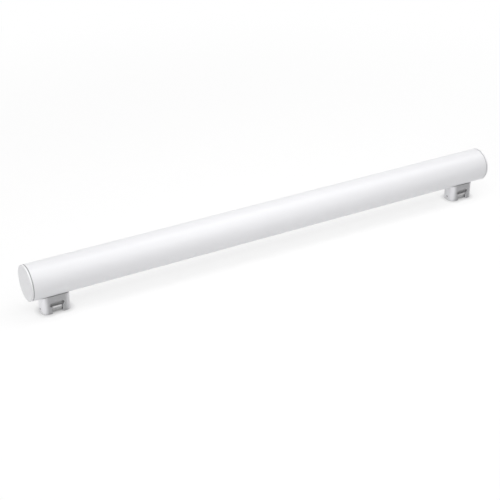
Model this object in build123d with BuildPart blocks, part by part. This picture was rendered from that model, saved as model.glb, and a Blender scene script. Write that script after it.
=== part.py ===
"""Opal tube lamp that stands on two push-in contact pegs.

Millimetres. +X runs along the tube, +Z is up, and the origin is on the ground under the tube's middle.
"""

import os

from build123d import *

# Tube
overall_length = 500.0  # over both end caps
tube_radius = 16.5
tube_wall = 1.5  # at the bored ends
tube_edge = 0.25  # chamfer round each end
socket_depth = 10.0  # bore at each end that takes a cap's spigot

# End caps
cap_rim = 1.6  # thickness of the rim that shows
cap_edge = 0.7  # chamfer round the rim
seam_width = 0.7  # shadow groove between the rim and the tube
seam_depth = 1.2
spigot_length = 9.0
spigot_wall = 1.6
spigot_lead_in = 0.5
spigot_clearance = 0.1

# Pegs
peg_inset = 24.5  # from the lamp's end to the peg's middle
peg_length = 26.4  # along the tube
peg_width = 16.4  # across the tube
peg_drop = 15.7  # from the tube's underside to the ground
peg_corner_radius = 5.5
peg_foot_edge = 0.8  # chamfer round the foot
sheet = 0.8  # metal of the shell
reveal = 0.35  # dark gap between the shell's edge and the tube

# Catch window in each long wall of a shell: a slot with a channel below it
slot_length = 13.8
slot_height = 4.2
slot_rise = 8.8  # middle of the slot above the ground
channel_width = 10.0
channel_reach = 5.5  # how far the channel notches the foot

# Small window low in each short wall of a shell, where a nib of the core snaps in
port_width = 2.2
port_height = 1.4
port_rise = 3.6  # middle of the window above the ground
nib_clearance = 0.15
nib_recess = 0.4  # from the shell's short face to the nib's end

# Contact strip
strip_width = 8.8
strip_thickness = 0.5
strip_bend_radius = 0.8  # at the middle of the strip's thickness
arm_foot_recess = 2.7  # from the shell's long face to the arm's foot
arm_crown_recess = 0.9  # from the shell's long face to the arm's crown
arm_crown_rise = 5.5
lip_fold = 0.8  # how far the lip turns in past the crown

# Insulating core
core_clearance = 0.1
core_edge = 0.6  # chamfer round the core's foot
saddle_clearance = 0.2
pocket_margin = 0.5  # room in the core around the catch slot
pocket_depth = 3.3  # from the shell's long face
neck_length = 20.0
neck_width = 10.4
neck_corner_radius = 2.5
neck_height = 5.0  # above the tube's underside
neck_clearance = 0.1

axis_height = tube_radius + peg_drop
tube_length = overall_length - 2 * (cap_rim + seam_width)
socket_radius = tube_radius - tube_wall
neck_top = peg_drop + neck_height
peg_spacing = overall_length - 2 * peg_inset
tube_middle = Plane(origin=(0, 0, axis_height), x_dir=(0, 1, 0), z_dir=(1, 0, 0))

SIDES = {"left": -1, "right": 1}

os.makedirs("parts", exist_ok=True)

# The sealed tube, with a socket for each cap and a pocket for each peg's neck
with BuildPart() as opal_tube:
    with BuildSketch(tube_middle):
        Circle(tube_radius)
    extrude(amount=tube_length / 2, both=True)
    chamfer(opal_tube.edges().filter_by(GeomType.CIRCLE), length=tube_edge)
    for side in SIDES.values():
        with BuildSketch(tube_middle.offset(side * tube_length / 2)):
            Circle(socket_radius)
        extrude(amount=-side * socket_depth, mode=Mode.SUBTRACT)
    with BuildSketch(Plane.XY):
        with GridLocations(peg_spacing, 1, 2, 1):
            RectangleRounded(
                neck_length + 2 * neck_clearance,
                neck_width + 2 * neck_clearance,
                neck_corner_radius + neck_clearance,
            )
    extrude(amount=neck_top, mode=Mode.SUBTRACT)
opal_tube.part.label = "opal_tube"
export_step(opal_tube.part, "parts/opal_tube.step")

for place, side in SIDES.items():
    # End cap: rim, groove shoulder and hollow spigot, built inwards from the outer face
    outer_face = Plane(
        origin=(side * overall_length / 2, 0, axis_height), x_dir=(0, 1, 0), z_dir=(-side, 0, 0)
    )
    spigot_radius = socket_radius - spigot_clearance
    with BuildPart() as end_cap:
        with BuildSketch(outer_face):
            Circle(tube_radius)
        extrude(amount=cap_rim)
        chamfer(end_cap.edges().sort_by(Axis.X)[0 if side < 0 else -1], length=cap_edge)
        with BuildSketch(outer_face.offset(cap_rim)):
            Circle(tube_radius - seam_depth)
        extrude(amount=seam_width)
        with BuildSketch(outer_face.offset(cap_rim + seam_width)):
            Circle(spigot_radius)
            Circle(spigot_radius - spigot_wall, mode=Mode.SUBTRACT)
        extrude(amount=spigot_length)
        spigot_end = end_cap.faces().sort_by(Axis.X)[-1 if side < 0 else 0]
        chamfer(spigot_end.outer_wire().edges(), length=spigot_lead_in)
    end_cap.part.label = f"end_cap_{place}"
    export_step(end_cap.part, f"parts/end_cap_{place}.step")

    # Planes of one peg: its foot, and the sections along and across the tube through its middle
    peg_x = side * peg_spacing / 2
    foot = Plane((peg_x, 0, 0))
    along = Plane(origin=(peg_x, 0, 0), x_dir=(1, 0, 0), z_dir=(0, -1, 0))
    across = Plane(origin=(peg_x, 0, 0), x_dir=(0, 1, 0), z_dir=(1, 0, 0))

    # Shell: a drawn cup, saddle-cut to the tube, with its catch windows and small windows
    with BuildPart() as peg_shell:
        with BuildSketch(foot):
            RectangleRounded(peg_length, peg_width, peg_corner_radius)
        extrude(amount=axis_height)
        chamfer(peg_shell.faces().sort_by(Axis.Z)[0].edges(), length=peg_foot_edge)
        with BuildSketch(foot.offset(sheet)):
            RectangleRounded(peg_length - 2 * sheet, peg_width - 2 * sheet, peg_corner_radius - sheet)
        extrude(amount=axis_height, mode=Mode.SUBTRACT)
        with BuildSketch(across):
            with Locations((0, axis_height)):
                Circle(tube_radius + reveal)
        extrude(amount=peg_length, both=True, mode=Mode.SUBTRACT)
        for face in (-1, 1):
            with BuildSketch(along.offset(face * peg_width / 2)):
                with Locations((0, slot_rise)):
                    SlotOverall(slot_length, slot_height)
                with Locations((0, slot_rise / 2)):
                    Rectangle(channel_width, slot_rise)
            extrude(amount=-face * channel_reach, mode=Mode.SUBTRACT)
            with BuildSketch(across.offset(face * peg_length / 2)):
                with Locations((0, port_rise)):
                    Rectangle(port_width, port_height)
            extrude(amount=-face * 2 * sheet, mode=Mode.SUBTRACT)
    peg_shell.part.label = f"peg_shell_{place}"
    export_step(peg_shell.part, f"parts/peg_shell_{place}.step")

    # Contact strip: a web on the shell's floor and two arms that slope out to a folded lip
    web_rise = sheet + strip_thickness / 2
    arm_foot = (peg_width / 2 - arm_foot_recess, web_rise)
    arm_crown = (peg_width / 2 - arm_crown_recess, arm_crown_rise)
    lip_end = (arm_crown[0] - lip_fold, arm_crown[1] + lip_fold)
    arm = [arm_foot, arm_crown, lip_end]
    opposite_arm = [(-y, z) for y, z in reversed(arm)]
    with BuildPart() as contact_strip:
        with BuildSketch(across):
            with BuildLine():
                FilletPolyline(*opposite_arm, *arm, radius=strip_bend_radius)
            trace(line_width=strip_thickness)
        extrude(amount=strip_width / 2, both=True)
    contact_strip.part.label = f"contact_strip_{place}"
    export_step(contact_strip.part, f"parts/contact_strip_{place}.step")

    # Core: a block that fills the shell above the strip, with a pocket behind each catch window,
    # a nib in each small window and a neck that plugs into the tube
    core_foot = sheet + strip_thickness
    core_gap = sheet + core_clearance
    pocket_top = slot_rise + slot_height / 2 + pocket_margin
    with BuildPart() as peg_core:
        with BuildSketch(foot.offset(core_foot)):
            RectangleRounded(
                peg_length - 2 * core_gap, peg_width - 2 * core_gap, peg_corner_radius - core_gap
            )
        extrude(amount=axis_height - core_foot)
        chamfer(peg_core.faces().sort_by(Axis.Z)[0].edges(), length=core_edge)
        with BuildSketch(across):
            with Locations((0, axis_height)):
                Circle(tube_radius + saddle_clearance)
        extrude(amount=peg_length, both=True, mode=Mode.SUBTRACT)
        for face in (-1, 1):
            with BuildSketch(along.offset(face * peg_width / 2)):
                with Locations((0, pocket_top / 2)):
                    Rectangle(slot_length + 2 * pocket_margin, pocket_top)
            extrude(amount=-face * pocket_depth, mode=Mode.SUBTRACT)
            with BuildSketch(across.offset(face * (peg_length / 2 - nib_recess))):
                with Locations((0, port_rise)):
                    Rectangle(port_width - 2 * nib_clearance, port_height - 2 * nib_clearance)
            extrude(amount=-face * peg_corner_radius)
        with BuildSketch(foot.offset(pocket_top)):
            RectangleRounded(neck_length, neck_width, neck_corner_radius)
        extrude(amount=neck_top - pocket_top)
    peg_core.part.label = f"peg_core_{place}"
    export_step(peg_core.part, f"parts/peg_core_{place}.step")
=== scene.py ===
"""Dresses the tubular lamp: opal tube, moulded end caps and contact pegs, on a pale studio floor.

Everything is in metres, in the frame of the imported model: +X along the tube, +Z up, ground at zero.
"""

from __future__ import annotations

import logging
import math
from dataclasses import dataclass, field
from enum import Enum
from typing import Iterable, Sequence, Union

import bmesh
import bpy
from mathutils import Matrix, Vector


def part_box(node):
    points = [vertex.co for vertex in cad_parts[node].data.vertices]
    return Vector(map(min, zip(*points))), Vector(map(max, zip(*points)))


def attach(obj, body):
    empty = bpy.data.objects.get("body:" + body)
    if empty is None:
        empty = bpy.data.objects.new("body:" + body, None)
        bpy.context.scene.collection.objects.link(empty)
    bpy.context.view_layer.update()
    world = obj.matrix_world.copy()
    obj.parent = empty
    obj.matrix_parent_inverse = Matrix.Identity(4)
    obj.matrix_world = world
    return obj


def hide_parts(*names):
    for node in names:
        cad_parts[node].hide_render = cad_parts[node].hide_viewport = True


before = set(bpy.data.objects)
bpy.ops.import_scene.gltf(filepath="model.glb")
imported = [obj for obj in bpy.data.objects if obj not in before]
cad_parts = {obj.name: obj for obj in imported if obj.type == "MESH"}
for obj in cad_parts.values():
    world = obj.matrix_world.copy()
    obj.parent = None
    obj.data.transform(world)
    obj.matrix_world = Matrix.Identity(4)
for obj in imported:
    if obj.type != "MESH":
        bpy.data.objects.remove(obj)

LOG = logging.getLogger("tube_lamp")
MM = 0.001
BODY = "root"
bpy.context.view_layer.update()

Colour = tuple[float, float, float]
Point = tuple[float, float, float]
Cells = tuple[float, float, float]
Value = Union[float, "Signal"]
Tint = Union[Colour, "bpy.types.NodeSocket"]

WHITE: Colour = (1.0, 1.0, 1.0)
# Painted shade: the seam between each cap and the tube is coloured grey where shade falls in the
# groove
SEAM_PAINTED_SHADE: Colour = (0.52, 0.52, 0.525)

# Sockets of a Mix node that mixes colours, and the mean of a Noise node
MIX_FACTOR, MIX_FIRST, MIX_SECOND, MIX_RESULT = 0, 6, 7, 2
NOISE_MIDDLE = 0.5

# Limits, steps and angles that the mesh operators work to
MERGE_DISTANCE = 0.001 * MM
LEVEL_TOLERANCE = 0.1 * MM
PARALLEL = 0.999
ROUND_PROFILE = 0.5
KEEP_MATERIAL = -1
BEND_SEGMENTS = 6
SMOOTH_ANGLE = math.radians(35.0)
SOFTEN_ANGLE = math.radians(40.0)
SOFTEN_SEGMENTS = 2


class Side(Enum):
    """The two ends of the lamp, as the sign of their place along the tube."""

    LEFT = -1
    RIGHT = 1

    @property
    def word(self) -> str:
        """The side's name as it ends the CAD nodes' names."""
        return self.name.lower()


class Slot(Enum):
    """The record's material slots, listed against the scene's own pieces; the script passes them on
    but reads none.
    """

    OPAL = "opal_white"
    CAP = "cap_white"
    SHELL = "satin_metal"
    STRIP = "spring_metal"


class Axis(Enum):
    """The directions that a box's edges are rounded in, by their number."""

    ACROSS = 1
    UPRIGHT = 2


class Rounding(Enum):
    """What a rounding is made on, as the bevel operator calls it."""

    CORNERS = "VERTICES"
    EDGES = "EDGES"


def opaque(colour: Colour) -> tuple[float, float, float, float]:
    """A colour with full alpha, as colour sockets take it."""
    return (*colour, 1.0)


class Signal:
    """A number that varies over a surface: a socket that arithmetic turns into Math nodes."""

    def __init__(self, bench: "ShaderBench", socket: bpy.types.NodeSocket) -> None:
        """Wraps a socket.

        Args:
            bench: The bench whose tree holds the socket.
            socket: The output socket that gives the number.
        """
        self.bench = bench
        self.socket = socket

    def combine(self, operation: str, first: Value, second: Value) -> "Signal":
        """Adds a Math node.

        Args:
            operation: The Math node's operation.
            first: Its first value.
            second: Its second value.

        Returns:
            The node's result.
        """
        made = self.bench.add("ShaderNodeMath", {"operation": operation}, {0: first, 1: second})
        return Signal(self.bench, made.outputs[0])

    def __add__(self, other: Value) -> "Signal":
        """Sum with a number or signal on the right."""
        return self.combine("ADD", self, other)

    def __radd__(self, other: Value) -> "Signal":
        """Sum with a number on the left."""
        return self.combine("ADD", other, self)

    def __sub__(self, other: Value) -> "Signal":
        """Difference from a number or signal on the right."""
        return self.combine("SUBTRACT", self, other)

    def __rsub__(self, other: Value) -> "Signal":
        """Difference from a number on the left."""
        return self.combine("SUBTRACT", other, self)

    def __mul__(self, other: Value) -> "Signal":
        """Product with a number or signal on the right."""
        return self.combine("MULTIPLY", self, other)

    def __rmul__(self, other: Value) -> "Signal":
        """Product with a number on the left."""
        return self.combine("MULTIPLY", other, self)

    def __abs__(self) -> "Signal":
        """Size without sign."""
        return self.combine("ABSOLUTE", self, 0.0)

    def __gt__(self, other: Value) -> "Signal":
        """One where the signal is larger, and zero elsewhere."""
        return self.combine("GREATER_THAN", self, other)

    def __lt__(self, other: Value) -> "Signal":
        """One where the signal is smaller, and zero elsewhere."""
        return self.combine("LESS_THAN", self, other)

    def swing(self, span: float) -> "Signal":
        """Noise that swings about zero over a span."""
        return span * (self - NOISE_MIDDLE)


class ShaderBench:
    """One node tree, and the one way that nodes are added to it."""

    def __init__(self, owner: Union[bpy.types.Material, bpy.types.World]) -> None:
        """Empties the owner's node tree.

        Args:
            owner: The material or world that gets the nodes.
        """
        owner.use_nodes = True
        self.owner = owner
        self.tree = owner.node_tree
        self.tree.nodes.clear()

    def add(
        self, kind: str, settings: dict | None = None, sockets: dict | None = None
    ) -> bpy.types.Node:
        """Adds a node, with its settings first and then its sockets.

        Args:
            kind: The node's type.
            settings: The node's own properties, by name.
            sockets: Values, signals or output sockets, by input name or number.

        Returns:
            The new node.
        """
        node = self.tree.nodes.new(kind)
        for name, value in (settings or {}).items():
            setattr(node, name, value)
        for key, value in (sockets or {}).items():
            source = value.socket if isinstance(value, Signal) else value
            if isinstance(source, bpy.types.NodeSocket):
                self.tree.links.new(source, node.inputs[key])
            else:
                node.inputs[key].default_value = source
        return node

    def signal(self, node: bpy.types.Node, output: Union[str, int] = 0) -> Signal:
        """One output of a node as a signal."""
        return Signal(self, node.outputs[output])

    def coordinates(self) -> bpy.types.NodeSocket:
        """Object coordinates."""
        return self.add("ShaderNodeTexCoord").outputs["Object"]

    def noise(self, cells: Cells, detail: float, roughness: float = 0.5) -> Signal:
        """Noise from 0 to 1 on stretched Object coordinates.

        Args:
            cells: Noise cells per metre along each axis.
            detail: Octaves of finer noise.
            roughness: Strength of the finer octaves.

        Returns:
            The noise as a signal.
        """
        mapped = self.add(
            "ShaderNodeMapping", None, {"Vector": self.coordinates(), "Scale": cells}
        )
        node = self.add(
            "ShaderNodeTexNoise",
            {"noise_dimensions": "3D"},
            {
                "Vector": mapped.outputs["Vector"],
                "Scale": 1.0,
                "Detail": detail,
                "Roughness": roughness,
            },
        )
        return self.signal(node)

    def blend(self, factor: Value, low: Tint, high: Tint) -> bpy.types.NodeSocket:
        """Mixes two colours.

        Args:
            factor: Share of the second colour.
            low: The first colour, or a socket that gives one.
            high: The second colour, or a socket that gives one.

        Returns:
            The mixed colour's socket.
        """
        first, second = (opaque(t) if isinstance(t, tuple) else t for t in (low, high))
        node = self.add(
            "ShaderNodeMix",
            {"data_type": "RGBA", "clamp_factor": True},
            {MIX_FACTOR: factor, MIX_FIRST: first, MIX_SECOND: second},
        )
        return node.outputs[MIX_RESULT]

    def in_sight(self) -> Signal:
        """Tells what the camera sees from plain lighting.

        Returns:
            One for what is seen, openly, in a reflection or through glass, and zero elsewhere.
        """
        path = self.add("ShaderNodeLightPath")
        seen = self.signal(path, "Is Camera Ray") + self.signal(path, "Is Glossy Ray")
        return seen + self.signal(path, "Is Transmission Ray")

    def distance_along(self) -> Signal:
        """Distance from the lamp's middle along the tube, in metres."""
        place = self.add("ShaderNodeSeparateXYZ", None, {"Vector": self.coordinates()})
        return abs(self.signal(place, "X"))

    def bump(self, height: Signal, depth: float) -> bpy.types.NodeSocket:
        """A Bump node.

        Args:
            height: The relief, from 0 to 1.
            depth: Depth of the relief in metres.

        Returns:
            The bent normal's socket.
        """
        node = self.add(
            "ShaderNodeBump", None, {"Strength": 1.0, "Distance": depth, "Height": height}
        )
        return node.outputs["Normal"]

    def surface(self, sockets: dict) -> None:
        """Ends the tree in a Principled BSDF.

        Args:
            sockets: The shader's values and links, by input name.
        """
        shader = self.add("ShaderNodeBsdfPrincipled", None, sockets)
        self.add("ShaderNodeOutputMaterial", None, {"Surface": shader.outputs[0]})


@dataclass(frozen=True)
class OpalFinish:
    """Extruded opal plastic: milky white, with a soft gloss, faint draw lines along the tube and
    painted shade in the seams at its ends.
    """

    milk: Colour = (0.838, 0.838, 0.858)
    cream: Colour = (0.868, 0.868, 0.886)
    cloud_cells: Cells = (22.0, 22.0, 22.0)
    line_cells: Cells = (3.0, 900.0, 900.0)
    cloud_share: float = 0.6
    line_share: float = 0.4
    roughness: float = 0.31
    cloud_swing: float = 0.06  # of the roughness
    line_swing: float = 0.04
    relief: float = 0.004 * MM
    ior: float = 1.5
    painted_seam_shade_start: float = 247.58 * MM  # from the lamp's middle, where the seam's painted shade starts

    def material(self) -> bpy.types.Material:
        """Builds the material.

        Returns:
            The finished material.
        """
        bench = ShaderBench(bpy.data.materials.new("opal_plastic"))
        cloud = bench.noise(self.cloud_cells, detail=3.0)
        lines = bench.noise(self.line_cells, detail=2.0)
        share = self.cloud_share * cloud + self.line_share * lines
        body = bench.blend(share, self.milk, self.cream)
        # painted shade in the seam: the tube's end faces are coloured grey
        in_painted_seam_shade = bench.distance_along() > self.painted_seam_shade_start
        bench.surface(
            {
                "Base Color": bench.blend(in_painted_seam_shade, body, SEAM_PAINTED_SHADE),
                "Roughness": self.roughness
                + cloud.swing(self.cloud_swing)
                + lines.swing(self.line_swing),
                "Normal": bench.bump(lines, self.relief),
                "IOR": self.ior,
            }
        )
        return bench.owner


@dataclass(frozen=True)
class CapFinish:
    """Moulded white plastic, finely sparked: a flat face, a rim painted lighter as a highlight, and
    painted seam shade.
    """

    shade: Colour = (0.752, 0.752, 0.768)
    light: Colour = (0.782, 0.782, 0.798)
    # painted highlight: the rim takes a lighter white than the face, as the light it catches
    rim_painted_highlight: Colour = (0.92, 0.92, 0.935)
    cloud_cells: Cells = (90.0, 90.0, 90.0)
    grain_cells: Cells = (4200.0, 4200.0, 4200.0)
    cloud_share: float = 0.75
    grain_share: float = 0.25
    roughness: float = 0.34
    cloud_swing: float = 0.08  # of the roughness
    grain_swing: float = 0.06
    relief: float = 0.006 * MM
    ior: float = 1.49
    painted_highlight_end: float = 249.7 * MM  # from the lamp's middle; the rim's painted highlight lies nearer the middle than this
    # the seam's groove is painted grey as shade nearer the middle than this
    painted_seam_shade_end: float = 248.38 * MM

    def material(self) -> bpy.types.Material:
        """Builds the material.

        Returns:
            The finished material.
        """
        bench = ShaderBench(bpy.data.materials.new("cap_plastic"))
        grain = bench.noise(self.grain_cells, detail=1.0)
        cloud = bench.noise(self.cloud_cells, detail=3.0)
        place = bench.distance_along()
        share = self.cloud_share * cloud + self.grain_share * grain
        face = bench.blend(share, self.shade, self.light)
        # painted highlight on the rim, which is lighter than the face
        body = bench.blend(place < self.painted_highlight_end, face, self.rim_painted_highlight)
        bench.surface(
            {
                # painted shade in the seam's groove
                "Base Color": bench.blend(place < self.painted_seam_shade_end, body, SEAM_PAINTED_SHADE),
                "Roughness": self.roughness
                + cloud.swing(self.cloud_swing)
                + grain.swing(self.grain_swing),
                "Normal": bench.bump(grain, self.relief),
                "IOR": self.ior,
            }
        )
        return bench.owner


@dataclass(frozen=True)
class MetalFinish:
    """Satin plated sheet, with fine lines in the direction in which it was drawn or rolled."""

    name: str
    shade: Colour
    light: Colour
    roughness: float
    line_cells: Cells
    metallic: float
    painted_wall_shade: float = 1.0  # painted shade: brightness of the long walls against the corners and short walls
    painted_light_span: float = 0.65  # turn of the surface, as its normal's X, from which it is left fully bright
    blotch_cells: Cells = (350.0, 350.0, 350.0)
    blotch_share: float = 0.5
    line_share: float = 0.5
    blotch_swing: float = 0.14  # of the roughness
    line_swing: float = 0.16
    line_roughness: float = 0.6  # of the noise that draws the lines
    relief: float = 0.006 * MM

    def paint_wall_shade(self, bench: ShaderBench, colour: bpy.types.NodeSocket) -> bpy.types.NodeSocket:
        """Paints shade on the long walls, and leaves the corners and short walls at the sheet's full
        colour.

        Args:
            bench: The bench that the nodes go on.
            colour: The sheet's colour.

        Returns:
            The colour with painted shade on the long walls.
        """
        normal = bench.add("ShaderNodeNewGeometry").outputs["Normal"]
        turn = bench.signal(bench.add("ShaderNodeSeparateXYZ", None, {"Vector": normal}), "X")
        # painted shade: the long walls, which the tube above shades, are darkened by their normal
        wall_shade = bench.add(
            "ShaderNodeMapRange",
            None,
            {"Value": abs(turn), "From Max": self.painted_light_span, "To Min": self.painted_wall_shade},
        )
        node = bench.add(
            "ShaderNodeMix",
            {"data_type": "RGBA", "blend_type": "MULTIPLY"},
            {MIX_FACTOR: 1.0, MIX_FIRST: colour, MIX_SECOND: wall_shade.outputs[0]},
        )
        return node.outputs[MIX_RESULT]

    def material(self) -> bpy.types.Material:
        """Builds the material.

        Returns:
            The finished material.
        """
        bench = ShaderBench(bpy.data.materials.new(self.name))
        lines = bench.noise(self.line_cells, detail=3.0, roughness=self.line_roughness)
        blotch = bench.noise(self.blotch_cells, detail=3.0)
        share = self.blotch_share * blotch + self.line_share * lines
        colour = bench.blend(share, self.shade, self.light)
        # painted shade on the long walls
        if self.painted_wall_shade < 1.0:
            colour = self.paint_wall_shade(bench, colour)
        bench.surface(
            {
                "Base Color": colour,
                "Metallic": self.metallic,
                "Roughness": self.roughness
                + blotch.swing(self.blotch_swing)
                + lines.swing(self.line_swing),
                "Normal": bench.bump(lines, self.relief),
            }
        )
        return bench.owner


@dataclass(frozen=True)
class InsulatorFinish:
    """Grey moulded block with a matt grain."""

    shade: Colour = (0.47, 0.47, 0.475)
    light: Colour = (0.53, 0.53, 0.535)
    grain_cells: Cells = (2600.0, 2600.0, 2600.0)
    roughness: float = 0.62
    grain_swing: float = 0.15  # of the roughness
    relief: float = 0.01 * MM

    def material(self) -> bpy.types.Material:
        """Builds the material.

        Returns:
            The finished material.
        """
        bench = ShaderBench(bpy.data.materials.new("insulator"))
        grain = bench.noise(self.grain_cells, detail=2.0)
        bench.surface(
            {
                "Base Color": bench.blend(grain, self.shade, self.light),
                "Roughness": self.roughness + grain.swing(self.grain_swing),
                "Normal": bench.bump(grain, self.relief),
            }
        )
        return bench.owner


DRAWN_SHEET = MetalFinish(
    name="drawn_sheet",
    shade=(0.85, 0.85, 0.87),
    light=(0.93, 0.93, 0.95),
    roughness=0.46,
    line_cells=(1500.0, 1500.0, 120.0),
    metallic=0.2,
    # painted shade on the shell's long walls
    painted_wall_shade=0.48,
)
SPRING_SHEET = MetalFinish(
    name="spring_sheet",
    shade=(0.48, 0.48, 0.485),
    light=(0.56, 0.56, 0.56),
    roughness=0.4,
    line_cells=(2200.0, 160.0, 160.0),
    metallic=0.5,
)


class Workshop:
    """Operators that the sub-assemblies share."""

    @staticmethod
    def bevel(
        bm: bmesh.types.BMesh, geom: Sequence, kind: Rounding, reach: float, segments: int
    ) -> None:
        """Rounds corners or edges.

        Args:
            bm: The mesh.
            geom: The corners or edges.
            kind: Which of the two they are.
            reach: How far each rounding reaches.
            segments: Facets in each rounding.
        """
        bmesh.ops.bevel(
            bm,
            geom=geom,
            affect=kind.value,
            offset=reach,
            offset_type="OFFSET",
            segments=segments,
            profile=ROUND_PROFILE,
            material=KEEP_MATERIAL,
        )

    @staticmethod
    def wire(bm: bmesh.types.BMesh, points: Iterable[Point]) -> list[bmesh.types.BMVert]:
        """Draws a line of edges through points.

        Args:
            bm: The mesh that gets the line.
            points: The line's corners, in order.

        Returns:
            The corners' vertices.
        """
        corners = [bm.verts.new(point) for point in points]
        for first, second in zip(corners, corners[1:]):
            bm.edges.new((first, second))
        return corners

    @classmethod
    def turned(
        cls,
        outline: Iterable[tuple[float, float]],
        rounds: dict[int, float],
        height: float,
        segments: int,
    ) -> bmesh.types.BMesh:
        """Spins an outline about the tube's axis.

        Args:
            outline: Place along the tube and radius of each corner, from axis to axis.
            rounds: Rounding of some corners, by their number in the outline.
            height: Height of the tube's axis.
            segments: Steps of the full turn.

        Returns:
            The closed turned form.
        """
        bm = bmesh.new()
        corners = cls.wire(bm, [(along, 0.0, radius) for along, radius in outline])
        for number, reach in rounds.items():
            cls.bevel(bm, [corners[number]], Rounding.CORNERS, reach, BEND_SEGMENTS)
        bmesh.ops.spin(
            bm,
            geom=bm.verts[:] + bm.edges[:],
            cent=(0, 0, 0),
            axis=(1, 0, 0),
            dvec=(0, 0, 0),
            angle=2 * math.pi,
            steps=segments,
            use_merge=True,
            use_duplicate=False,
        )
        bmesh.ops.remove_doubles(bm, verts=bm.verts[:], dist=MERGE_DISTANCE)
        bmesh.ops.translate(bm, vec=(0, 0, height), verts=bm.verts[:])
        bmesh.ops.recalc_face_normals(bm, faces=bm.faces[:])
        return bm

    @staticmethod
    def block(low: Sequence[float], high: Sequence[float]) -> bmesh.types.BMesh:
        """A box between two corners.

        Args:
            low: Lowest corner.
            high: Highest corner.

        Returns:
            The box.
        """
        bm = bmesh.new()
        bmesh.ops.create_cube(bm, size=1.0)
        spans = [b - a for a, b in zip(low, high)]
        middle = [(a + b) / 2 for a, b in zip(low, high)]
        bmesh.ops.scale(bm, vec=spans, verts=bm.verts[:])
        bmesh.ops.translate(bm, vec=middle, verts=bm.verts[:])
        return bm

    @classmethod
    def round_edges(cls, bm: bmesh.types.BMesh, axis: Axis, radius: float, segments: int) -> None:
        """Rounds a box's edges that run along one axis.

        Args:
            bm: The box.
            axis: The axis.
            radius: Radius of the rounding.
            segments: Facets in each rounding.
        """
        edges = []
        for edge in bm.edges:
            run = edge.verts[1].co - edge.verts[0].co
            if abs(run[axis.value]) > PARALLEL * run.length:
                edges.append(edge)
        cls.bevel(bm, edges, Rounding.EDGES, radius, segments)

    @staticmethod
    def piece(name: str, bm: bmesh.types.BMesh) -> bpy.types.Object:
        """Makes an object of a bmesh, smooth up to an angle.

        Args:
            name: The object's name.
            bm: The mesh, which is freed.

        Returns:
            The new object, at the origin.
        """
        mesh = bpy.data.meshes.new(name)
        bm.to_mesh(mesh)
        bm.free()
        mesh.shade_smooth()
        mesh.set_sharp_from_angle(angle=SMOOTH_ANGLE)
        made = bpy.data.objects.new(name, mesh)
        bpy.context.scene.collection.objects.link(made)
        return made

    @classmethod
    def cut(cls, target: bpy.types.Object, cutters: Iterable[bmesh.types.BMesh]) -> None:
        """Cuts shapes out of a piece and keeps the result as its mesh.

        Args:
            target: The piece.
            cutters: The shapes, which are freed.
        """
        tools = [cls.piece(f"{target.name}_cutter", bm) for bm in cutters]
        for tool in tools:
            modifier = target.modifiers.new("cut", "BOOLEAN")
            modifier.operation = "DIFFERENCE"
            modifier.solver = "EXACT"
            modifier.object = tool
        bpy.context.view_layer.update()
        graph = bpy.context.evaluated_depsgraph_get()
        made = bpy.data.meshes.new_from_object(target.evaluated_get(graph))
        target.modifiers.clear()
        target.data = made
        for tool in tools:
            bpy.data.objects.remove(tool)

    @staticmethod
    def thicken(target: bpy.types.Object, thickness: float) -> None:
        """Gives a bare sheet its thickness, half on each side.

        Args:
            target: The piece.
            thickness: Thickness of the sheet.
        """
        modifier = target.modifiers.new("sheet", "SOLIDIFY")
        modifier.thickness = thickness
        modifier.offset = 0.0
        modifier.use_even_offset = True

    @staticmethod
    def soften(target: bpy.types.Object, width: float) -> None:
        """Takes the sharpness off a piece's edges.

        Args:
            target: The piece.
            width: Width of the rounding.
        """
        target.data.shade_smooth()
        modifier = target.modifiers.new("soft_edges", "BEVEL")
        modifier.width = width
        modifier.segments = SOFTEN_SEGMENTS
        modifier.limit_method = "ANGLE"
        modifier.angle_limit = SOFTEN_ANGLE
        modifier.harden_normals = True

    @staticmethod
    def dress(target: bpy.types.Object, material: bpy.types.Material) -> None:
        """Gives every face of a piece one material.

        Args:
            target: The piece or CAD node.
            material: The material.
        """
        if not target.material_slots:
            target.data.materials.append(material)
        for slot in target.material_slots:
            slot.material = material

    @classmethod
    def fit(
        cls, target: bpy.types.Object, material: bpy.types.Material, slot: Slot, node: str
    ) -> None:
        """Dresses a piece that stands for a CAD node and lets it ride with the lamp.

        Args:
            target: The piece.
            material: Its material.
            slot: The record's slot of that finish; not used.
            node: The CAD node.
        """
        cls.dress(target, material)
        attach(target, BODY)
        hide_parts(node)
        LOG.info("%s stands for %s", target.name, node)


@dataclass(frozen=True)
class RoundNode:
    """Ends, radius and axis height of a round CAD node that lies along the tube."""

    start: float
    end: float
    radius: float
    height: float

    @classmethod
    def read(cls, node: str) -> "RoundNode":
        """Reads the measures from a CAD node's box."""
        low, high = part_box(node)
        return cls(low.x, high.x, (high.y - low.y) / 2, (low.z + high.z) / 2)


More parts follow.
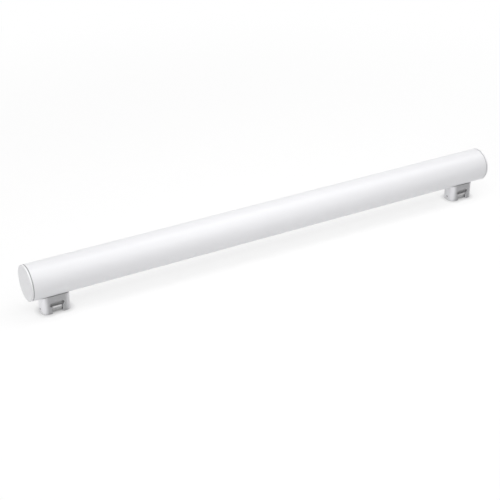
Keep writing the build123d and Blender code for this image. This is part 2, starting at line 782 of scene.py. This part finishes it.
@dataclass
class OpalTube:
    """The sealed opal tube, bored at its ends for the caps and pocketed for the pegs' necks."""

    wall: float = 1.5 * MM
    edge_radius: float = 0.25 * MM
    socket_depth: float = 10.0 * MM
    neck_clearance: float = 0.1 * MM
    neck_length: float = 20.0 * MM
    neck_width: float = 10.4 * MM
    neck_corner_radius: float = 2.5 * MM
    collar: float = 18.0 * MM  # from a peg's middle to the rings of edges that fence in its pocket
    segments: int = 192
    sharp_angle: float = math.radians(50.0)

    def build(self, pegs: Sequence["ContactPeg"], material: bpy.types.Material) -> None:
        """Builds and dresses the tube.

        Args:
            pegs: The pegs that the tube is pocketed for.
            material: The tube's material.
        """
        node = RoundNode.read("opal_tube")
        bore = node.radius - self.wall
        left_floor = node.start + self.socket_depth
        right_floor = node.end - self.socket_depth
        collars = [peg.middle + step for peg in pegs for step in (-self.collar, self.collar)]
        outline = [(left_floor, 0.0), (left_floor, bore), (node.start, bore)]
        first_rim = len(outline)
        outline += [(along, node.radius) for along in (node.start, *collars, node.end)]
        last_rim = len(outline) - 1
        outline += [(node.end, bore), (right_floor, bore), (right_floor, 0.0)]
        rounds = {first_rim: self.edge_radius, last_rim: self.edge_radius}
        tube = Workshop.piece(
            "tube", Workshop.turned(outline, rounds, node.height, self.segments)
        )
        Workshop.cut(tube, [self.pocket(peg) for peg in pegs])
        tube.data.set_sharp_from_angle(angle=self.sharp_angle)
        Workshop.fit(tube, material, Slot.OPAL, "opal_tube")

    def pocket(self, peg: "ContactPeg") -> bmesh.types.BMesh:
        """The room for one peg's neck.

        Args:
            peg: The peg.

        Returns:
            The shape to cut.
        """
        half_length = self.neck_length / 2 + self.neck_clearance
        half_width = self.neck_width / 2 + self.neck_clearance
        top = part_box(f"peg_core_{peg.side.word}")[1].z
        bm = Workshop.block(
            (peg.middle - half_length, -half_width, 0.0),
            (peg.middle + half_length, half_width, top),
        )
        Workshop.round_edges(bm, Axis.UPRIGHT, self.neck_corner_radius, BEND_SEGMENTS)
        return bm


@dataclass
class EndCap:
    """A moulded cap with a rounded rim, a shadow groove and a spigot in the tube."""

    side: Side
    rim: float = 1.6 * MM
    edge_radius: float = 0.5 * MM
    seam_width: float = 0.7 * MM
    seam_depth: float = 1.2 * MM
    spigot_gap: float = 1.6 * MM  # from the tube's outside to the spigot's
    spigot_wall: float = 1.6 * MM
    segments: int = 160

    def build(self, material: bpy.types.Material) -> None:
        """Builds and dresses the cap.

        Args:
            material: The caps' material.
        """
        name = f"end_cap_{self.side.word}"
        node = RoundNode.read(name)
        outward = self.side.value
        face, end = (node.end, node.start) if outward > 0 else (node.start, node.end)
        rim_back = face - outward * self.rim
        shoulder = rim_back - outward * self.seam_width
        groove = node.radius - self.seam_depth
        spigot = node.radius - self.spigot_gap
        bore = spigot - self.spigot_wall
        outline = [
            (face, 0.0),
            (face, node.radius),
            (rim_back, node.radius),
            (rim_back, groove),
            (shoulder, groove),
            (shoulder, spigot),
            (end, spigot),
            (end, bore),
            (shoulder, bore),
            (shoulder, 0.0),
        ]
        rim_corner = outline.index((face, node.radius))
        cap = Workshop.piece(
            f"cap_{self.side.word}",
            Workshop.turned(outline, {rim_corner: self.edge_radius}, node.height, self.segments),
        )
        Workshop.fit(cap, material, Slot.CAP, name)


@dataclass(frozen=True)
class PegFinishes:
    """The three materials of a contact peg."""

    shell: bpy.types.Material
    strip: bpy.types.Material
    core: bpy.types.Material


@dataclass
class ContactPeg:
    """A drawn metal shell over an insulating core, with a bent strip behind its catch windows."""

    side: Side
    corner_radius: float = 5.5 * MM
    corner_segments: int = 12
    foot_radius: float = 1.0 * MM
    sheet: float = 0.8 * MM
    reveal: float = 0.6 * MM  # dark gap between the shell's edge and the tube
    saddle_segments: int = 192
    slot_length: float = 13.8 * MM
    slot_height: float = 4.2 * MM
    slot_rise: float = 8.8 * MM
    slot_end_share: float = 0.499  # of the slot's height, just short of a full half round
    slot_segments: int = 10
    channel_width: float = 10.0 * MM
    channel_reach: float = 5.5 * MM
    port_width: float = 2.2 * MM
    port_height: float = 1.4 * MM
    port_rise: float = 3.6 * MM
    strip_width: float = 8.8 * MM
    strip_thickness: float = 0.5 * MM
    strip_bend_reach: float = 0.54 * MM  # along the strip, to either side of a bend
    arm_foot_recess: float = 2.7 * MM
    arm_crown_recess: float = 0.9 * MM
    arm_crown_rise: float = 5.5 * MM
    lip_fold: float = 0.8 * MM
    edge_softness: float = 0.12 * MM
    low: Vector = field(init=False)
    high: Vector = field(init=False)

    def __post_init__(self) -> None:
        """Reads the peg's place from the CAD shell."""
        self.low, self.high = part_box(f"peg_shell_{self.side.word}")

    @property
    def middle(self) -> float:
        """The peg's middle along the tube."""
        return (self.low.x + self.high.x) / 2

    @property
    def half_width(self) -> float:
        """Half the peg's size across the tube."""
        return (self.high.y - self.low.y) / 2

    def build(self, finishes: PegFinishes) -> None:
        """Builds and dresses the peg's pieces.

        Args:
            finishes: The peg's materials.
        """
        word = self.side.word
        Workshop.fit(self.shell(), finishes.shell, Slot.SHELL, f"peg_shell_{word}")
        Workshop.fit(self.strip(), finishes.strip, Slot.STRIP, f"contact_strip_{word}")
        Workshop.dress(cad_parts[f"peg_core_{word}"], finishes.core)
        LOG.info("peg_core_%s keeps its CAD form", word)

    def shell(self) -> bpy.types.Object:
        """The drawn cup, saddle-cut to the tube, with its windows.

        Returns:
            The shell.
        """
        tube = RoundNode.read("opal_tube")
        bm = Workshop.block(self.low, (self.high.x, self.high.y, tube.height))
        Workshop.round_edges(bm, Axis.UPRIGHT, self.corner_radius, self.corner_segments)
        foot = [e for e in bm.edges if all(v.co.z < LEVEL_TOLERANCE for v in e.verts)]
        Workshop.bevel(bm, foot, Rounding.EDGES, self.foot_radius, BEND_SEGMENTS)
        lid_level = tube.height - LEVEL_TOLERANCE
        lid = [f for f in bm.faces if all(v.co.z > lid_level for v in f.verts)]
        bmesh.ops.delete(bm, geom=lid, context="FACES")
        bmesh.ops.recalc_face_normals(bm, faces=bm.faces[:])
        bmesh.ops.solidify(bm, geom=bm.faces[:], thickness=self.sheet)
        shell = Workshop.piece(f"shell_{self.side.word}", bm)
        Workshop.cut(shell, [self.saddle(tube), *self.catch_windows(), *self.ports()])
        Workshop.soften(shell, self.edge_softness)
        return shell

    def saddle(self, tube: RoundNode) -> bmesh.types.BMesh:
        """The round form that the shell's upper edge is cut by.

        Args:
            tube: The tube's measures.

        Returns:
            The shape to cut.
        """
        radius = tube.radius + self.reveal
        to_tube = Matrix.Rotation(math.pi / 2, 3, "Y")
        bm = bmesh.new()
        bmesh.ops.create_cone(
            bm,
            cap_ends=True,
            segments=self.saddle_segments,
            radius1=radius,
            radius2=radius,
            depth=2 * (self.high.x - self.low.x),
        )
        bmesh.ops.rotate(bm, cent=(0, 0, 0), matrix=to_tube, verts=bm.verts[:])
        bmesh.ops.translate(bm, vec=(self.middle, 0, tube.height), verts=bm.verts[:])
        return bm

    def catch_windows(self) -> list[bmesh.types.BMesh]:
        """The slot and channel of each long wall.

        Returns:
            The shapes to cut.
        """
        shapes = []
        half_slot = self.slot_length / 2
        half_height = self.slot_height / 2
        half_channel = self.channel_width / 2
        for face in (-1, 1):
            inside = face * (self.half_width - self.channel_reach)
            outside = face * (self.half_width + self.sheet)
            near, far = sorted((inside, outside))
            slot = Workshop.block(
                (self.middle - half_slot, near, self.slot_rise - half_height),
                (self.middle + half_slot, far, self.slot_rise + half_height),
            )
            end_radius = self.slot_end_share * self.slot_height
            Workshop.round_edges(slot, Axis.ACROSS, end_radius, self.slot_segments)
            channel = Workshop.block(
                (self.middle - half_channel, near, -self.sheet),
                (self.middle + half_channel, far, self.slot_rise),
            )
            shapes += [slot, channel]
        return shapes

    def ports(self) -> list[bmesh.types.BMesh]:
        """The small window of each short wall.

        Returns:
            The shapes to cut.
        """
        shapes = []
        half_width = self.port_width / 2
        half_height = self.port_height / 2
        for end, inward in ((self.low.x, 1), (self.high.x, -1)):
            outside = end - inward * self.sheet
            inside = end + inward * 2 * self.sheet
            left, right = sorted((outside, inside))
            shapes.append(
                Workshop.block(
                    (left, -half_width, self.port_rise - half_height),
                    (right, half_width, self.port_rise + half_height),
                )
            )
        return shapes

    def strip(self) -> bpy.types.Object:
        """The contact strip: a web on the shell's floor and two arms that end in a folded lip.

        Returns:
            The strip.
        """
        web = self.sheet + self.strip_thickness / 2
        crown = self.half_width - self.arm_crown_recess
        arm = [
            (self.half_width - self.arm_foot_recess, web),
            (crown, self.arm_crown_rise),
            (crown - self.lip_fold, self.arm_crown_rise + self.lip_fold),
        ]
        route = [(-y, z) for y, z in reversed(arm)] + arm
        start = self.middle - self.strip_width / 2
        bm = bmesh.new()
        corners = Workshop.wire(bm, [(start, y, z) for y, z in route])
        Workshop.bevel(
            bm, corners[1:-1], Rounding.CORNERS, self.strip_bend_reach, BEND_SEGMENTS
        )
        swept = bmesh.ops.extrude_edge_only(bm, edges=bm.edges[:])["geom"]
        moved = [v for v in swept if isinstance(v, bmesh.types.BMVert)]
        bmesh.ops.translate(bm, vec=(self.strip_width, 0, 0), verts=moved)
        bmesh.ops.recalc_face_normals(bm, faces=bm.faces[:])
        strip = Workshop.piece(f"strip_{self.side.word}", bm)
        Workshop.thicken(strip, self.strip_thickness)
        Workshop.soften(strip, self.edge_softness / 2)
        return strip


@dataclass(frozen=True)
class SoftLamp:
    """One rectangular studio lamp."""

    name: str
    place: Point
    target: Point
    size: tuple[float, float]
    watts: float

    def build(self) -> None:
        """Hangs the lamp."""
        data = bpy.data.lights.new(self.name, "AREA")
        data.shape = "RECTANGLE"
        data.size, data.size_y = self.size
        data.energy = self.watts
        aim = Vector(self.target) - Vector(self.place)
        lamp = bpy.data.objects.new(self.name, data)
        lamp.location = self.place
        lamp.rotation_euler = aim.to_track_quat("-Z", "Y").to_euler()
        bpy.context.scene.collection.objects.link(lamp)


@dataclass
class Studio:
    """Floor, room light, lamps and the camera at the photograph's place."""

    camera_place: Point = (-0.51823, -0.83684, 0.52212)
    camera_aim: Point = (0.44684, 0.76077, -0.4707)
    focal_px: float = 1154.4  # in the photograph's pixels
    frame_px: float = 500.0
    sensor: float = 36.0  # millimetres, as the lens is
    floor_span: float = 12.0
    floor_bounce: Colour = (0.8, 0.8, 0.8)  # of the paper that lights the lamp
    floor_shade: Colour = (0.26, 0.26, 0.26)  # part of the floor in sight that takes the shadow
    floor_white: float = 0.757  # part of it that is plain white
    contact_reach: float = 6.0 * MM  # of the dark line round each foot
    contact_samples: int = 16
    contact_shade: Colour = (0.2, 0.2, 0.2)
    open_floor: tuple[float, float] = (0.3, 0.8)  # from the middle, where the shadow fades out
    room_strength: float = 0.262  # as it lights the lamp
    backdrop_white: float = 1.0  # as it shows
    lamps: Sequence[SoftLamp] = (
        SoftLamp("overhead", (0.4, -0.05, 1.6), (0.4, 0.0, 0.0), (3.0, 0.85), 16.6),
        SoftLamp("overhead_near", (0.0, -0.1, 0.8), (0.0, 0.0, 0.03), (0.6, 0.25), 0.32),
        SoftLamp("front_high", (0.3, -0.8, 1.4), (0.2, 0.0, 0.0), (2.4, 0.6), 4.2),
        SoftLamp("front_near", (0.0, -0.3, 0.3), (0.0, 0.0, 0.03), (0.35, 0.15), 0.26),
        SoftLamp("left_low", (-1.7, -0.45, 0.4), (0.0, 0.0, 0.05), (0.8, 0.7), 8.6),
        SoftLamp("back_high", (0.1, 1.0, 1.4), (0.1, 0.0, 0.0), (2.4, 0.6), 1.9),
    )

    def build(self) -> None:
        """Builds the whole studio."""
        self.floor()
        self.room()
        self.camera()
        for lamp in self.lamps:
            lamp.build()
        bpy.context.scene.view_settings.view_transform = "Standard"

    def floor(self) -> None:
        """The pale floor: it shows white with a faint shadow, and lights the lamp as paper does."""
        bm = bmesh.new()
        bmesh.ops.create_grid(bm, x_segments=1, y_segments=1, size=self.floor_span / 2)
        floor = Workshop.piece("floor", bm)
        bench = ShaderBench(bpy.data.materials.new("floor_paper"))
        paper = bench.add("ShaderNodeBsdfDiffuse", None, {"Color": opaque(self.floor_bounce)})
        near = self.near_floor(bench)
        far = bench.add(
            "ShaderNodeEmission", None, {"Color": opaque(WHITE), "Strength": self.backdrop_white}
        )
        reach = bench.add(
            "ShaderNodeVectorMath", {"operation": "LENGTH"}, {0: bench.coordinates()}
        )
        start, end = self.open_floor
        fade = bench.add(
            "ShaderNodeMapRange",
            {"interpolation_type": "SMOOTHSTEP"},
            {"Value": reach.outputs["Value"], "From Min": start, "From Max": end},
        )
        shown = bench.add(
            "ShaderNodeMixShader",
            None,
            {0: fade.outputs[0], 1: near.outputs[0], 2: far.outputs[0]},
        )
        both = bench.add(
            "ShaderNodeMixShader",
            None,
            {0: bench.in_sight(), 1: paper.outputs[0], 2: shown.outputs[0]},
        )
        bench.add("ShaderNodeOutputMaterial", None, {"Surface": both.outputs[0]})
        Workshop.dress(floor, bench.owner)

    def near_floor(self, bench: ShaderBench) -> bpy.types.Node:
        """The floor as it shows near the lamp, with the cast shadow and the dark line of contact.

        Args:
            bench: The bench that the nodes go on.

        Returns:
            The shader's node.
        """
        shade = bench.add("ShaderNodeBsdfDiffuse", None, {"Color": opaque(self.floor_shade)})
        contact = bench.add(
            "ShaderNodeAmbientOcclusion",
            {"samples": self.contact_samples},
            {"Distance": self.contact_reach},
        )
        pale = bench.blend(bench.signal(contact, "AO"), self.contact_shade, WHITE)
        white = bench.add(
            "ShaderNodeEmission", None, {"Color": pale, "Strength": self.floor_white}
        )
        return bench.add(
            "ShaderNodeAddShader", None, {0: shade.outputs[0], 1: white.outputs[0]}
        )

    def room(self) -> None:
        """The plain white surroundings."""
        world = bpy.data.worlds.new("studio_room")
        bpy.context.scene.world = world
        bench = ShaderBench(world)
        light, shown = (
            bench.add(
                "ShaderNodeBackground", None, {"Color": opaque(WHITE), "Strength": strength}
            )
            for strength in (self.room_strength, self.backdrop_white)
        )
        both = bench.add(
            "ShaderNodeMixShader",
            None,
            {0: bench.in_sight(), 1: light.outputs[0], 2: shown.outputs[0]},
        )
        bench.add("ShaderNodeOutputWorld", None, {"Surface": both.outputs[0]})

    def camera(self) -> None:
        """The camera at the photograph's place, angle and field of view."""
        data = bpy.data.cameras.new("camera")
        data.sensor_width = self.sensor
        data.lens = self.focal_px / self.frame_px * self.sensor
        camera = bpy.data.objects.new("camera", data)
        camera.location = self.camera_place
        camera.rotation_euler = Vector(self.camera_aim).to_track_quat("-Z", "Y").to_euler()
        bpy.context.scene.collection.objects.link(camera)
        bpy.context.scene.camera = camera


def main() -> None:
    """Builds the lamp and its studio in order."""
    logging.basicConfig(level=logging.INFO, format="%(name)s: %(message)s")
    pegs = [ContactPeg(side) for side in Side]
    OpalTube().build(pegs, OpalFinish().material())
    cap_plastic = CapFinish().material()
    for side in Side:
        EndCap(side).build(cap_plastic)
    finishes = PegFinishes(
        shell=DRAWN_SHEET.material(),
        strip=SPRING_SHEET.material(),
        core=InsulatorFinish().material(),
    )
    for peg in pegs:
        peg.build(finishes)
    Studio().build()


if __name__ == "__main__":
    main()
